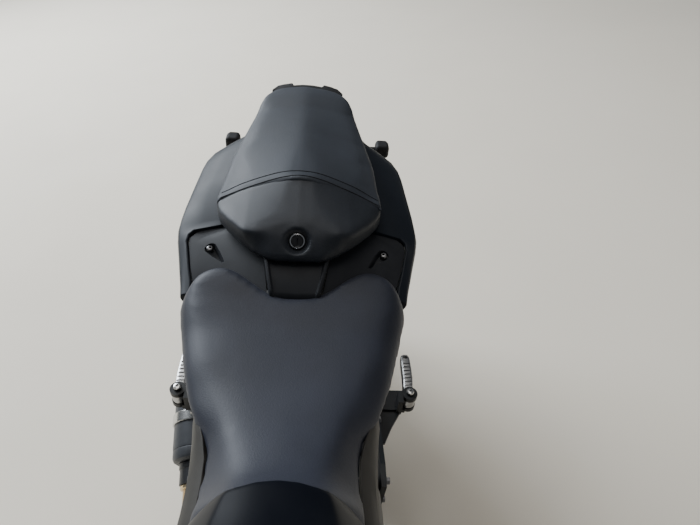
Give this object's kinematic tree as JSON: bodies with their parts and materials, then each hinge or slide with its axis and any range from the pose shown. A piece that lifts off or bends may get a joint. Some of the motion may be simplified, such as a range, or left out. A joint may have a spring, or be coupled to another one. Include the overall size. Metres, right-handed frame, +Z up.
{
  "type": "standard motorcycle",
  "caption": "Naked roadster motorcycle leaning on its side stand, bars on the left stop, with turning wheels and steering, folding stand and pegs, and a hinged filler cap.",
  "frame": {"origin": "on the ground under the middle of the bounding box, with the bike leaning on its side stand", "axes": "+X forwards along the bike, +Y to the rider's left, the side it leans to, +Z up from the ground"},
  "size_m": [2.0143, 0.7344, 1.2723],
  "materials": {
    "frame_paint": "satin black coating",
    "swingarm_metal": "satin black aluminium",
    "chain_steel": "oiled steel",
    "engine_metal": "black coated casting",
    "cover_metal": "dark grey casting",
    "exhaust_steel": "heat-tinted stainless steel",
    "muffler_black": "satin black heat coating",
    "bright_steel": "brushed stainless steel",
    "body_paint": "satin black lacquer",
    "panel_paint": "matte slate grey",
    "seat_vinyl": "matte grained vinyl",
    "chrome_trim": "bright chrome",
    "black_plastic": "fine textured plastic",
    "red_lens": "clear red lens",
    "amber_lens": "black body with clear lens",
    "plain_plate": "blank plate",
    "caliper_metal": "black coating",
    "spring_steel": "black spring",
    "wheel_metal": "satin black lacquer",
    "tyre_rubber": "road tyre",
    "disc_steel": "ground stainless steel",
    "clamp_metal": "satin black aluminium",
    "fork_metal": "polished stanchions, black sliders",
    "grip_rubber": "ribbed rubber",
    "lamp_glass": "clear lens"
  },
  "bodies": {
    "chassis": {"frame": "frame_paint", "subframe": "frame_paint", "swingarm": "swingarm_metal", "drive_chain": "chain_steel", "crankcase": "engine_metal", "cylinders": "engine_metal", "cam_cover": "engine_metal", "engine_covers": "cover_metal", "exhaust_pipes": "exhaust_steel", "muffler": "muffler_black", "muffler_clamp": "bright_steel", "fuel_tank": "body_paint", "filler_ring": "bright_steel", "rider_seat": "seat_vinyl", "pillion_seat": "seat_vinyl", "seat_lock": "chrome_trim", "bridge_plate": "black_plastic", "tail_panel_left": "panel_paint", "tail_panel_right": "panel_paint", "inner_plates": "black_plastic", "plate_screws": "bright_steel", "tail_end": "black_plastic", "tail_lamp": "red_lens", "undertray": "black_plastic", "side_cover_left": "black_plastic", "side_cover_right": "black_plastic", "rear_mudguard": "black_plastic", "blank_plate": "plain_plate", "rear_signals": "amber_lens", "rear_caliper": "caliper_metal", "rear_axle": "bright_steel", "rear_shock": "spring_steel", "peg_bracket_left": "frame_paint", "peg_bracket_right": "frame_paint", "rider_pegs": "frame_paint", "pedals": "bright_steel"},
    "filler_cap": {"filler_cap": "bright_steel"},
    "passenger_peg_left": {"passenger_peg_left": "bright_steel"},
    "passenger_peg_right": {"passenger_peg_right": "bright_steel"},
    "rear_wheel": {"rear_rim": "wheel_metal", "rear_tyre": "tyre_rubber", "rear_disc": "disc_steel", "rear_sprocket": "chain_steel"},
    "side_stand": {"side_stand": "frame_paint"},
    "steering": {"triple_clamps": "clamp_metal", "fork_legs": "fork_metal", "handlebar": "frame_paint", "grips": "grip_rubber", "bar_controls": "black_plastic", "mirrors": "black_plastic", "headlamp": "black_plastic", "headlamp_lens": "lamp_glass", "display": "black_plastic", "front_mudguard": "panel_paint", "front_calipers": "caliper_metal", "front_axle": "bright_steel"},
    "front_wheel": {"front_rim": "wheel_metal", "front_tyre": "tyre_rubber", "front_discs": "disc_steel"}
  },
  "joints": [
    {"name": "steering", "type": "hinge", "parent": "chassis", "child": "steering", "pos_m": [0.41762, 0.00179, 0.91434], "axis": [-0.4105, 0.1298, 0.9026], "range_deg": [-60, 0]},
    {"name": "front_wheel_spin", "type": "hinge", "parent": "steering", "child": "front_wheel", "pos_m": [0.73359, -0.07153, 0.28689], "axis": [-0.4565, 0.8276, -0.3266], "continuous": true},
    {"name": "rear_wheel_spin", "type": "hinge", "parent": "chassis", "child": "rear_wheel", "pos_m": [-0.69223, -0.08566, 0.31265], "axis": [-0.0007, 0.9898, -0.1426], "continuous": true},
    {"name": "side_stand_fold", "type": "hinge", "parent": "chassis", "child": "side_stand", "pos_m": [-0.12967, 0.03825, 0.21638], "axis": [0.1179, 0.9115, 0.3942], "range_deg": [0, 104.8]},
    {"name": "passenger_peg_left_fold", "type": "hinge", "parent": "chassis", "child": "passenger_peg_left", "pos_m": [-0.36771, 0.15574, 0.42284], "axis": [0.0046, 0.1426, 0.9898], "range_deg": [-90, 0]},
    {"name": "passenger_peg_right_fold", "type": "hinge", "parent": "chassis", "child": "passenger_peg_right", "pos_m": [-0.36741, -0.2857, 0.48645], "axis": [0.0046, 0.1426, 0.9898], "range_deg": [0, 90]},
    {"name": "filler_cap_lid", "type": "hinge", "parent": "chassis", "child": "filler_cap", "pos_m": [0.25597, 0.01275, 0.99115], "axis": [-0.0007, 0.9898, -0.1426], "range_deg": [0, 95]}
  ]
}
